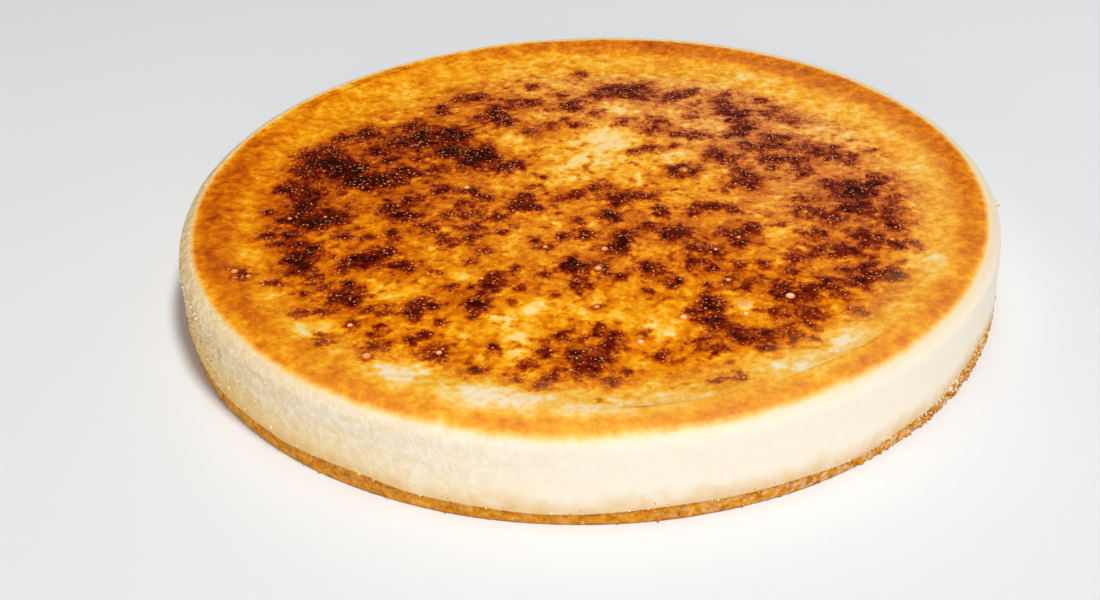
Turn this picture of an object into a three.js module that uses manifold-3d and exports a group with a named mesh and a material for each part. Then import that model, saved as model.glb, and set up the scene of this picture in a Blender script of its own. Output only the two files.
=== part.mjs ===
// Basque burnt cheesecake, whole and uncut: baked cream cheese on a thin biscuit base.
// Millimetres, +Z up. The origin is the centre of the flat underside, and -Y is the
// side that faces the viewer.

import * as THREE from 'three';
import { mergeVertices } from 'three/addons/utils/BufferGeometryUtils.js';
import Module from 'manifold-3d';

// Overall size, as baked in a 24 cm springform tin
const CAKE_RADIUS = 120;
const CAKE_HEIGHT = 26.7;
const BASE_THICKNESS = 4.3;
const LAYER_GAP = 0.3;

// Outline of the cheese layer, from the wall inwards
const SHOULDER_WIDTH = 5.5;
const SHOULDER_HEIGHT = 5;
const SHOULDER_STEPS = 6;
const WALL_TAPER = 0.6;
const WALL_RINGS = 5;
const RIM_CREST_INSET = 9;
const DISH_INSET = 22;
const DISH_DEPTH = 1.3;
const CREST_RISE = 0.25;
const RIM_RINGS = 7;
const DISH_RINGS = 12;

// The fold where the skin of the rim steps down to the dish, strongest in front
const FOLD_RADIUS = 109.2;
const FOLD_WIDTH = 1.6;
const FOLD_DROP = 0.8;
const FOLD_CENTRES = [-1.45, -0.96, 2.4];
const FOLD_SPANS = [0.15, 0.15, 0.4];
const FOLD_SHARES = [1, 0.8, 0.45];

// Outline of the biscuit base
const BASE_INSET = 0.3;
const BASE_FOOT_BEVEL = 0.4;
const BASE_CRUMB_RELIEF = 0.35;
const SIDE_RINGS = 3;

const SEGMENTS = 120;

// Waves round the edge: how many in a full turn, height and phase
const WALL_WAVES = [[2, 0.4, 0.6], [3, 0.25, -1.1], [5, 0.1, 2.0], [9, 0.04, 0.5], [17, 0.04, 1.2]];
const RIM_WAVES = [[1, 0.45, 3.58], [2, 0.25, 2.45], [3, 0.1, 0.4], [7, 0.04, 1.9]];
const LAYER_WAVES = [[2, 0.3, 1.0], [5, 0.3, 2.7], [8, 0.22, 0.2], [13, 0.18, 1.7], [21, 0.14, 0.9]];
const LAYER_WAVE_DEPTH = 8;
const SEAM_RINGS = 3;

// Where the crumb stands higher at the side, or the cheese sagged over it: angle, span and height
const SEAM_BUMPS = [
  [-2.13, 0.12, 1.2],
  [-1.6, 0.19, -0.8],
  [-1.0, 0.09, -0.6],
  [-0.52, 0.15, 2.0],
  [0.04, 0.4, -3.4],
];
const SEAM_BUMP_STEEPNESS = 4;

// Swells across the top: wavelength, heading, height and phase. They calm down near the rim.
const SWELLS = [[74, 0.4, 0.22, 0.3], [47, 1.9, 0.17, 1.4], [31, 2.8, 0.12, 2.2], [21, 1.1, 0.08, 0.7]];
const SWELL_CALM = 0.7;
const SWELL_CALM_RADIUS = 95;
const SWELL_CALM_WIDTH = 20;

// Large bubbles baked into the skin: place and width
const BLISTERS = [
  { x: 29.5, y: 9.5, width: 4.2 },
  { x: 52.3, y: -61.7, width: 3.4 },
  { x: 40, y: -65.5, width: 5 },
  { x: 24, y: -69.7, width: 3 },
  { x: 12.5, y: -80, width: 3 },
  { x: 4.5, y: -34.7, width: 3 },
  { x: 2.5, y: -45.3, width: 3 },
  { x: -56, y: -84.5, width: 3.4 },
  { x: -38, y: -83.3, width: 3 },
  { x: -97, y: -43.5, width: 3.2 },
  { x: -93, y: -45, width: 3 },
  { x: -36, y: 3.5, width: 3 },
];
const BLISTER_FLATNESS = 0.6;
const BLISTER_SINK = 0.25;
const BLISTER_SIDES = 9;
const BLISTER_BANDS = 6;

const FULL_TURN = 2 * Math.PI;

function waveHeight(waves, angle) {
  return waves.reduce((sum, [count, height, phase]) => sum + height * Math.sin(count * angle + phase), 0);
}

function smoothStep(value) {
  const t = Math.min(Math.max(value, 0), 1);
  return t * t * (3 - 2 * t);
}

function swellHeight(x, y) {
  const nearRim = smoothStep((Math.hypot(x, y) - SWELL_CALM_RADIUS) / SWELL_CALM_WIDTH);
  const swell = SWELLS.reduce((sum, [length, heading, height, phase]) => {
    const along = x * Math.cos(heading) + y * Math.sin(heading);
    return sum + height * Math.sin((FULL_TURN * along) / length + phase);
  }, 0);
  return swell * (1 - SWELL_CALM * nearRim);
}

// Shorter way round from one angle to another
function turnFrom(centre, angle) {
  return Math.atan2(Math.sin(angle - centre), Math.cos(angle - centre));
}

// Share of the full fold at an angle round the cake, from 0 to 1
function foldShare(angle) {
  return FOLD_CENTRES.reduce((share, centre, index) => {
    const turn = turnFrom(centre, angle);
    return share + FOLD_SHARES[index] * Math.exp(-((turn / FOLD_SPANS[index]) ** 2));
  }, 0);
}

// How far the top lies below the full height of the cake at a point inside the shoulder
function topDrop(radius, angle) {
  const inset = CAKE_RADIUS - radius;
  const rise = CREST_RISE * Math.sin(Math.PI * Math.min(inset / (2 * RIM_CREST_INSET), 1));
  const dish = DISH_DEPTH * smoothStep((inset - RIM_CREST_INSET) / (DISH_INSET - RIM_CREST_INSET));
  const fold = FOLD_DROP * foldShare(angle) * smoothStep((FOLD_RADIUS - radius) / FOLD_WIDTH + 0.5);
  const healed = smoothStep((radius - 0.5 * CAKE_RADIUS) / (0.3 * CAKE_RADIUS));
  return dish + fold * healed - rise;
}

function topHeight(x, y) {
  const radius = Math.hypot(x, y);
  const angle = Math.atan2(y, x);
  const nearRim = radius / CAKE_RADIUS;
  return CAKE_HEIGHT - topDrop(radius, angle) + swellHeight(x, y) + nearRim * waveHeight(RIM_WAVES, angle);
}

// Height of the seam between biscuit and cheese, which wavers and sags only close to the side
function seamHeight(radius, angle) {
  const nearSide = smoothStep(1 - (CAKE_RADIUS - radius) / LAYER_WAVE_DEPTH);
  const bumps = SEAM_BUMPS.reduce((sum, [centre, span, height]) => {
    return sum + height * Math.exp(-((turnFrom(centre, angle) / span) ** SEAM_BUMP_STEEPNESS));
  }, 0);
  return BASE_THICKNESS + nearSide * (waveHeight(LAYER_WAVES, angle) + bumps);
}

// Turns a profile about the vertical axis. Every point of it is [radius, height].
function turnedSolid(profile) {
  const points = profile.map(([radius, height]) => new THREE.Vector2(radius, height));
  const geometry = new THREE.LatheGeometry(points, SEGMENTS).rotateX(Math.PI / 2);
  geometry.deleteAttribute('normal');
  geometry.deleteAttribute('uv');
  return mergeVertices(geometry, 1e-4);
}

// Moves every vertex by a rule that gets its place and gives the new one
function reshape(geometry, rule) {
  const position = geometry.getAttribute('position');
  const point = new THREE.Vector3();
  for (let index = 0; index < position.count; index += 1) {
    point.fromBufferAttribute(position, index);
    const moved = rule(point.x, point.y, point.z);
    position.setXYZ(index, moved[0], moved[1], moved[2]);
  }
  return geometry;
}

function spread(count, start, end) {
  return Array.from({ length: count }, (_, index) => start + ((end - start) * (index + 1)) / count);
}

// Profile of the cheese: flat underside, wall, rounded shoulder, rim and dish
function cheeseProfile() {
  const underside = BASE_THICKNESS;
  const shoulderFoot = CAKE_HEIGHT - SHOULDER_HEIGHT;
  const shoulderEnd = CAKE_RADIUS - SHOULDER_WIDTH;
  const dishEdge = CAKE_RADIUS - DISH_INSET;
  const profile = [[0, underside]];
  const seamStart = CAKE_RADIUS - LAYER_WAVE_DEPTH;
  profile.push([seamStart, underside]);
  spread(SEAM_RINGS, seamStart, CAKE_RADIUS).forEach((radius) => profile.push([radius, underside]));
  spread(WALL_RINGS, underside, shoulderFoot).forEach((height) => profile.push([CAKE_RADIUS, height]));
  spread(SHOULDER_STEPS, 0, Math.PI / 2).forEach((turn) => {
    const radius = shoulderEnd + SHOULDER_WIDTH * Math.cos(turn);
    profile.push([radius, shoulderFoot + SHOULDER_HEIGHT * Math.sin(turn)]);
  });
  spread(RIM_RINGS, shoulderEnd, dishEdge).forEach((radius) => profile.push([radius, CAKE_HEIGHT]));
  spread(DISH_RINGS, dishEdge, 0).forEach((radius) => profile.push([radius, CAKE_HEIGHT]));
  return profile;
}

// Gives one point of the turned cheese its true place: uneven seam, wall and top
function shapeCheese(x, y, z) {
  const radius = Math.hypot(x, y);
  const angle = Math.atan2(y, x);
  const up = (z - BASE_THICKNESS) / (CAKE_HEIGHT - BASE_THICKNESS);
  const taper = 1 - (WALL_TAPER * up) / CAKE_RADIUS;
  const outward = (radius / CAKE_RADIUS) ** 4;
  const newRadius = radius * taper + outward * waveHeight(WALL_WAVES, angle);
  const newX = newRadius * Math.cos(angle);
  const newY = newRadius * Math.sin(angle);
  const low = seamHeight(radius, angle) + LAYER_GAP;
  const high = topHeight(radius * Math.cos(angle), radius * Math.sin(angle));
  return [newX, newY, low + up * (high - low)];
}

// Profile of the biscuit: flat foot with a small worn edge, side and top
function biscuitProfile() {
  const side = CAKE_RADIUS - BASE_INSET;
  const profile = [[0, 0], [side - BASE_FOOT_BEVEL, 0]];
  const seamStart = CAKE_RADIUS - LAYER_WAVE_DEPTH;
  spread(SIDE_RINGS, 0, BASE_THICKNESS).forEach((height) => profile.push([side, height]));
  spread(SEAM_RINGS, side, seamStart).forEach((radius) => profile.push([radius, BASE_THICKNESS]));
  profile.push([0, BASE_THICKNESS]);
  return profile;
}

// Crumb relief of the side: a fixed irregular value between -1 and 1 for each place
function crumbValue(angle, height) {
  const mix = Math.sin(angle * 91.7 + height * 37.3) * 43758.5;
  return 2 * (mix - Math.floor(mix)) - 1;
}

function shapeBiscuit(x, y, z) {
  const radius = Math.hypot(x, y);
  const angle = Math.atan2(y, x);
  const onSide = radius > CAKE_RADIUS - BASE_INSET - 0.1;
  const rough = onSide ? BASE_CRUMB_RELIEF * crumbValue(angle, z) : 0;
  const outward = (radius / CAKE_RADIUS) ** 4;
  const newRadius = radius + rough + outward * waveHeight(WALL_WAVES, angle);
  const height = (z / BASE_THICKNESS) * seamHeight(radius, angle);
  return [newRadius * Math.cos(angle), newRadius * Math.sin(angle), height];
}

// A flattened bubble, most of it standing out of the skin where it sits
function blisterGeometry({ x, y, width }) {
  const radius = width / 2;
  const dome = new THREE.SphereGeometry(radius, BLISTER_SIDES, BLISTER_BANDS);
  dome.rotateX(Math.PI / 2).scale(1, 1, BLISTER_FLATNESS);
  dome.translate(x, y, topHeight(x, y) - BLISTER_SINK * radius);
  dome.deleteAttribute('normal');
  dome.deleteAttribute('uv');
  return mergeVertices(dome, 1e-4);
}

// Closed mesh to solid, leaving out the flat triangles at the poles
function toSolid(wasm, geometry) {
  const position = geometry.getAttribute('position');
  const corners = geometry.getIndex().array;
  const kept = [];
  for (let start = 0; start < corners.length; start += 3) {
    const [a, b, c] = corners.slice(start, start + 3);
    if (a !== b && b !== c && c !== a) kept.push(a, b, c);
  }
  const vertProperties = new Float32Array(position.array);
  const triVerts = new Uint32Array(kept);
  return new wasm.Manifold(new wasm.Mesh({ numProp: 3, vertProperties, triVerts }));
}

function toGeometry(solid) {
  const { vertProperties, triVerts } = solid.getMesh();
  const geometry = new THREE.BufferGeometry();
  geometry.setAttribute('position', new THREE.BufferAttribute(vertProperties, 3));
  geometry.setIndex(new THREE.BufferAttribute(triVerts, 1));
  geometry.computeVertexNormals();
  return geometry;
}

function cheeseMaterial() {
  return new THREE.MeshStandardMaterial({ color: '#eeb457', roughness: 0.45, metalness: 0 });
}

function biscuitMaterial() {
  return new THREE.MeshStandardMaterial({ color: '#bf8548', roughness: 0.9, metalness: 0 });
}

function cheeseFilling(wasm) {
  const body = toSolid(wasm, reshape(turnedSolid(cheeseProfile()), shapeCheese));
  const blisters = BLISTERS.map((blister) => toSolid(wasm, blisterGeometry(blister)));
  const whole = blisters.reduce((sum, blister) => sum.add(blister), body);
  const mesh = new THREE.Mesh(toGeometry(whole), cheeseMaterial());
  mesh.name = 'cheese_filling';
  return mesh;
}

function biscuitBase(wasm) {
  const body = toSolid(wasm, reshape(turnedSolid(biscuitProfile()), shapeBiscuit));
  const mesh = new THREE.Mesh(toGeometry(body), biscuitMaterial());
  mesh.name = 'biscuit_base';
  return mesh;
}

const wasm = await Module();
wasm.setup();

const cake = new THREE.Group();
cake.add(cheeseFilling(wasm));
cake.add(biscuitBase(wasm));

export default cake;
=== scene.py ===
# %% [markdown]
# A whole burnt cheesecake: a thick round of baked cream cheese on a thin biscuit base.
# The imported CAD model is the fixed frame. It gives the place and the size of both layers,
# and every piece below is modelled in metres straight over it.

# %% Load the frame
import math

import bmesh
import bpy
import numpy as np
from mathutils import Matrix, Vector, noise


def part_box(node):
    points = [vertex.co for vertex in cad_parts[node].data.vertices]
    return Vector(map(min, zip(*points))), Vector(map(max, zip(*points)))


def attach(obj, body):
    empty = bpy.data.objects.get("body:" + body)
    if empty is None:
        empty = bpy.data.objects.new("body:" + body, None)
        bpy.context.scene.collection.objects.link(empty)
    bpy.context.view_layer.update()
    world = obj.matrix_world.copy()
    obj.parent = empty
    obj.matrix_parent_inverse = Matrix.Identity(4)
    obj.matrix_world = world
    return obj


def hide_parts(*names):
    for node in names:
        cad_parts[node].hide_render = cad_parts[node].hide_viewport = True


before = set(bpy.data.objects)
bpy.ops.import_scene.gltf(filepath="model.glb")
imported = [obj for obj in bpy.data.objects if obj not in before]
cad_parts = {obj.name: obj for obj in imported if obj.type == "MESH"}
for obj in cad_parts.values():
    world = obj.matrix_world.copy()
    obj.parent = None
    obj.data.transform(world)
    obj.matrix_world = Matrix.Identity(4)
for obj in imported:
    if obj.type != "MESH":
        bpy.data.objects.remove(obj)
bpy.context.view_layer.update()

# %% [markdown]
# The camera comes first, because it decides how fine each surface has to be. The outlines
# of the cake in the photograph gave its distance, height, tilt and focal length. The
# picture is 1100 pixels wide, and the focal length is stated in those pixels.

# %% Camera
MM = 0.001
PICTURE_WIDTH = 1100
FOCAL_PIXELS = 1425.9
SENSOR_WIDTH = 36.0
CAMERA_DISTANCE = 0.4395
CAMERA_RISE = 0.5486
CAMERA_PITCH = 0.5736
CAMERA_YAW = 0.0331
CAMERA_ROLL = -0.0451

scene = bpy.context.scene


def put_in_scene(name, data):
    """Puts a new object with that data into the scene."""
    placed = bpy.data.objects.new(name, data)
    scene.collection.objects.link(placed)
    return placed


camera_data = bpy.data.cameras.new("camera")
camera_data.sensor_width = SENSOR_WIDTH
camera_data.lens = FOCAL_PIXELS / PICTURE_WIDTH * SENSOR_WIDTH
camera = put_in_scene("camera", camera_data)
facing = Matrix.Rotation(CAMERA_YAW, 4, "Z") @ Matrix.Rotation(math.pi / 2 - CAMERA_PITCH, 4, "X")
facing = facing @ Matrix.Rotation(CAMERA_ROLL, 4, "Z")
stand = Vector((0, -math.cos(CAMERA_RISE), math.sin(CAMERA_RISE))) * CAMERA_DISTANCE
camera.matrix_world = Matrix.Translation(stand) @ facing
scene.camera = camera
print("camera at", [round(value, 3) for value in stand], "lens", round(camera_data.lens, 1))

# %% [markdown]
# The sizes repeat those of the CAD model, in millimetres, so that each dressed layer keeps
# the form of the solid it stands for: a tin-baked side, a rounded shoulder, a soft rim,
# a fold line inside it and a shallow, slightly wavy dish.

# %% Sizes of the cake
CAKE_RADIUS = 120.0
CAKE_HEIGHT = 26.7
BASE_THICKNESS = 4.3
LAYER_GAP = 0.3
SHOULDER_WIDTH = 5.5
SHOULDER_HEIGHT = 5.0
WALL_TAPER = 0.6
RIM_CREST_INSET = 9.0
DISH_INSET = 22.0
DISH_DEPTH = 1.3
CREST_RISE = 0.25
FOLD_RADIUS = 109.2
FOLD_WIDTH = 1.6
FOLD_DROP = 0.8
# A fade is where it starts and how far it takes. A negative length fades out.
FOLD_FADE = (60.0, 36.0)
BASE_INSET = 0.3
BASE_FOOT_BEVEL = 0.4
LAYER_WAVE_DEPTH = 8.0
# Where the crumb stands higher at the side, or the cheese sagged over it: angle, span and height
SEAM_BUMPS = [(-2.13, 0.12, 1.2), (-1.6, 0.19, -0.8), (-1.00, 0.09, -0.6), (-0.52, 0.15, 2.0),
              (0.04, 0.4, -3.4)]
SEAM_BUMP_STEEPNESS = 4
# Folds: centre and span in radians, and share of the full drop
FOLDS = [(-1.45, 0.15, 1.0), (-0.96, 0.15, 0.8), (2.4, 0.4, 0.45)]
FOLD_STEEPNESS = 2
# Waves round the edge: how many in a full turn, height and phase
WALL_WAVES = [(2, 0.4, 0.6), (3, 0.25, -1.1), (5, 0.1, 2.0), (9, 0.04, 0.5), (17, 0.04, 1.2)]
RIM_WAVES = [(1, 0.45, 3.58), (2, 0.25, 2.45), (3, 0.1, 0.4), (7, 0.04, 1.9)]
LAYER_WAVES = [(2, 0.3, 1.0), (5, 0.3, 2.7), (8, 0.22, 0.2), (13, 0.18, 1.7), (21, 0.14, 0.9)]
# Swells across the top: wavelength, heading, height and phase
SWELLS = [(74, 0.4, 0.22, 0.3), (47, 1.9, 0.17, 1.4), (31, 2.8, 0.12, 2.2), (21, 1.1, 0.08, 0.7)]
SWELL_CALM = 0.7
SWELL_FADE = (95.0, 20.0)

cheese_low, cheese_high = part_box("cheese_filling")
print("cheese layer in the frame:", round(1000 * (cheese_high[0] - cheese_low[0]), 1), "mm across")


# %% Form of the cake as functions
def smooth_step(value):
    t = np.clip(value, 0.0, 1.0)
    return t * t * (3 - 2 * t)


def fade(value, start, length):
    """Smooth rise from 0 at the start to 1 after the length."""
    return smooth_step((value - start) / length)


def blend(start, end, share):
    return start + (end - start) * share


def wave_height(waves, angle):
    return sum(height * np.sin(count * angle + phase) for count, height, phase in waves)


def swell_height(x, y):
    swell = sum(height * np.sin(
        2 * math.pi * (x * math.cos(heading) + y * math.sin(heading)) / length + phase)
        for length, heading, height, phase in SWELLS)
    return swell * (1 - SWELL_CALM * fade(np.hypot(x, y), *SWELL_FADE))


def bump_height(bumps, steepness, angle):
    """Sum of smooth bumps round the edge, each with its centre, span and height."""
    total = 0.0 * angle
    for centre, span, height in bumps:
        turn = np.arctan2(np.sin(angle - centre), np.cos(angle - centre))
        total = total + height * np.exp(-((turn / span) ** steepness))
    return total


def fold_share(angle):
    """Share of the full fold at an angle round the cake, from 0 to 1."""
    return bump_height(FOLDS, FOLD_STEEPNESS, angle)


def from_polar(radius, angle, height):
    """Rows of x, y and z."""
    return np.column_stack([radius * np.cos(angle), radius * np.sin(angle), height])


def top_height(x, y):
    """Height of the skin above the table at a point inside the shoulder."""
    radius = np.hypot(x, y)
    angle = np.arctan2(y, x)
    inset = CAKE_RADIUS - radius
    rise = CREST_RISE * np.sin(math.pi * np.minimum(inset / (2 * RIM_CREST_INSET), 1))
    dish = DISH_DEPTH * fade(inset, RIM_CREST_INSET, DISH_INSET - RIM_CREST_INSET)
    fold = FOLD_DROP * fold_share(angle) * smooth_step((FOLD_RADIUS - radius) / FOLD_WIDTH + 0.5)
    level = CAKE_HEIGHT - dish - fold * fade(radius, *FOLD_FADE) + rise
    return level + swell_height(x, y) + radius / CAKE_RADIUS * wave_height(RIM_WAVES, angle)


def seam_height(radius, angle):
    """Height of the seam between biscuit and cheese, which wavers and sags near the side."""
    near_side = smooth_step(1 - (CAKE_RADIUS - radius) / LAYER_WAVE_DEPTH)
    bumps = bump_height(SEAM_BUMPS, SEAM_BUMP_STEEPNESS, angle)
    return BASE_THICKNESS + near_side * (wave_height(LAYER_WAVES, angle) + bumps)


# %% [markdown]
# The colours are written as sRGB hex, as a colour picker shows them. Cycles works in linear
# light, so one function turns them. A second one adds a node with its settings and links.

# %% Helpers for materials
def linear(code):
    """Linear RGBA of an sRGB hex colour."""
    parts = [int(code[i:i + 2], 16) / 255 for i in (1, 3, 5)]
    return [p / 12.92 if p <= 0.04045 else ((p + 0.055) / 1.055) ** 2.4 for p in parts] + [1.0]


def add(material, kind, inputs=None, stops=(), **settings):
    """Adds a node. Each input is a value, a socket, or a node whose first output is linked.
    The stops are the (place, hex colour) pairs of a colour ramp."""
    node = material.node_tree.nodes.new("ShaderNode" + kind)
    for name, value in settings.items():
        setattr(node, name, value)
    for name, value in (inputs or {}).items():
        if isinstance(value, bpy.types.Node):
            value = value.outputs[0]
        if isinstance(value, bpy.types.NodeSocket):
            material.node_tree.links.new(value, node.inputs[name])
        else:
            node.inputs[name].default_value = value
    for index, (place, code) in enumerate(stops):
        while len(node.color_ramp.elements) < len(stops):
            node.color_ramp.elements.new(1.0)
        node.color_ramp.elements[index].position = place
        node.color_ramp.elements[index].color = linear(code)
    return node


def new_material(name):
    material = bpy.data.materials.new(name)
    material.use_nodes = True
    material.node_tree.nodes.clear()
    return material


# Ranges with soft ends
SOFT = {"interpolation_type": "SMOOTHSTEP"}


def per_metre(size):
    """Texture scale for a pattern that repeats after that many millimetres."""
    return 1000.0 / size


# %% [markdown]
# The browning has three scales. Broad fields give the amber rim, the pale ring inside it
# and the brown haze. Char spots, some 3 to 10 mm wide, lie where the batter's bubbles came
# closest to the heat. Specks and tiny bubbles fill in the rest. The first two are worked
# out on the vertices, from places read off the photograph. Everything is a heat
# from 0, untouched cream, over amber at 0.35 and red-brown at 0.65 to black at 1.

# %% Broad fields of browning
# Lists that go round the cake have a value every 45 degrees, counter-clockwise from the right
COMPASS = [0, 45, 90, 135, 180, 225, 270, 315]
RIM_HEAT = [0.43, 0.45, 0.44, 0.33, 0.51, 0.42, 0.24, 0.39]
RING_HEAT = [0.28, 0.24, 0.28, 0.32, 0.36, 0.29, 0.2, 0.24]
ZONE_HEAT = [0.33, 0.29, 0.29, 0.35, 0.41, 0.35, 0.34, 0.33]
ZONE_RADIUS = [97, 87, 86, 89, 95, 98, 101, 102]
HEART_HEAT = 0.34
HEART_RADIUS = 45.0
ZONE_FADE = 9.0
# Radius where the ring starts to darken into the rim, and how far that takes
RIM_START = [102, 98, 99, 101, 100, 102, 107, 106]
RIM_FADE = 8.0
# A band just inside the edge, where the rim clears to yellow, but browns more in front
FRINGE_HEAT = [-0.05, -0.07, -0.07, -0.08, -0.15, -0.05, 0.12, -0.02]
FRINGE_INSET = 4.6
FRINGE_WIDTH = 2.6
# Where the browning ends on the shoulder, as a distance inwards from the full radius
EDGE_INSET = [5.0, 5.6, 6.7, 5.8, 4.4, 2.8, 1.5, 3.3]

# Pale places: x, y, reach and strength
PALE = [
    (8, 34, 9, 0.22), (4, 20, 11, 0.16), (-6, 11, 8, 0.1), (28, 19, 6, 0.16),
    (13, 57, 6, 0.12), (39, 10, 5, 0.12), (42, 44, 6, 0.08), (-22, -70, 5, 0.18),
    (-19, -84, 4, 0.22), (19, -74, 5, 0.14), (-15, -93.5, 2.8, 0.24), (48, -93, 7, 0.14),
    (-25, -103, 9, 0.14), (3, -105, 8, 0.07), (-57, -54, 5, 0.14), (-46, -92, 9, 0.18),
    (54, -28, 5, 0.14), (-72, -72, 6, 0.14), (-24, 34, 6, 0.14), (62, -83, 7, 0.18),
    (90, -48, 8, 0.1), (95, 8, 7, 0.06), (-34, -47, 4, 0.12), (2, -67, 5, 0.1),
    (-14, -64, 4, 0.12), (-46, -52, 4, 0.1), (25, -8, 4, 0.08), (46, -62, 3, 0.1),
    (40, -65.5, 3.4, 0.22), (-31, -107, 5, 0.1), (-17, -108, 5, 0.08), (-4, -112, 4, 0.1),
]


def total_field(places, x, y):
    return sum(strength * np.exp(-((x - px) ** 2 + (y - py) ** 2) / reach ** 2)
               for px, py, reach, strength in places)


def around(values, x, y):
    """The value in each point's direction, from a list with one for every 45 degrees."""
    return np.interp(np.degrees(np.arctan2(y, x)), COMPASS, values, period=360)


def off_heart(x, y):
    """0 in the heart of the cake, 1 away from it."""
    return smooth_step(np.hypot(x, y) / HEART_RADIUS - 0.5)


def zone_share(x, y):
    """1 inside the mottled zone, 0 on the smoother ring and rim round it."""
    return smooth_step((around(ZONE_RADIUS, x, y) - np.hypot(x, y)) / ZONE_FADE + 0.5)


def broad_heat(x, y):
    """Heat of the skin between its spots and specks."""
    radius = np.hypot(x, y)
    rim, ring, zone, start, fringe = [
        around(values, x, y)
        for values in (RIM_HEAT, RING_HEAT, ZONE_HEAT, RIM_START, FRINGE_HEAT)]
    inner = blend(HEART_HEAT, zone, off_heart(x, y))
    heat = blend(ring, inner, zone_share(x, y))
    heat = blend(heat, rim, fade(radius, start, RIM_FADE))
    near_edge = np.exp(-((CAKE_RADIUS - radius - FRINGE_INSET) / FRINGE_WIDTH) ** 2)
    return heat + fringe * near_edge - total_field(PALE, x, y)


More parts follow.
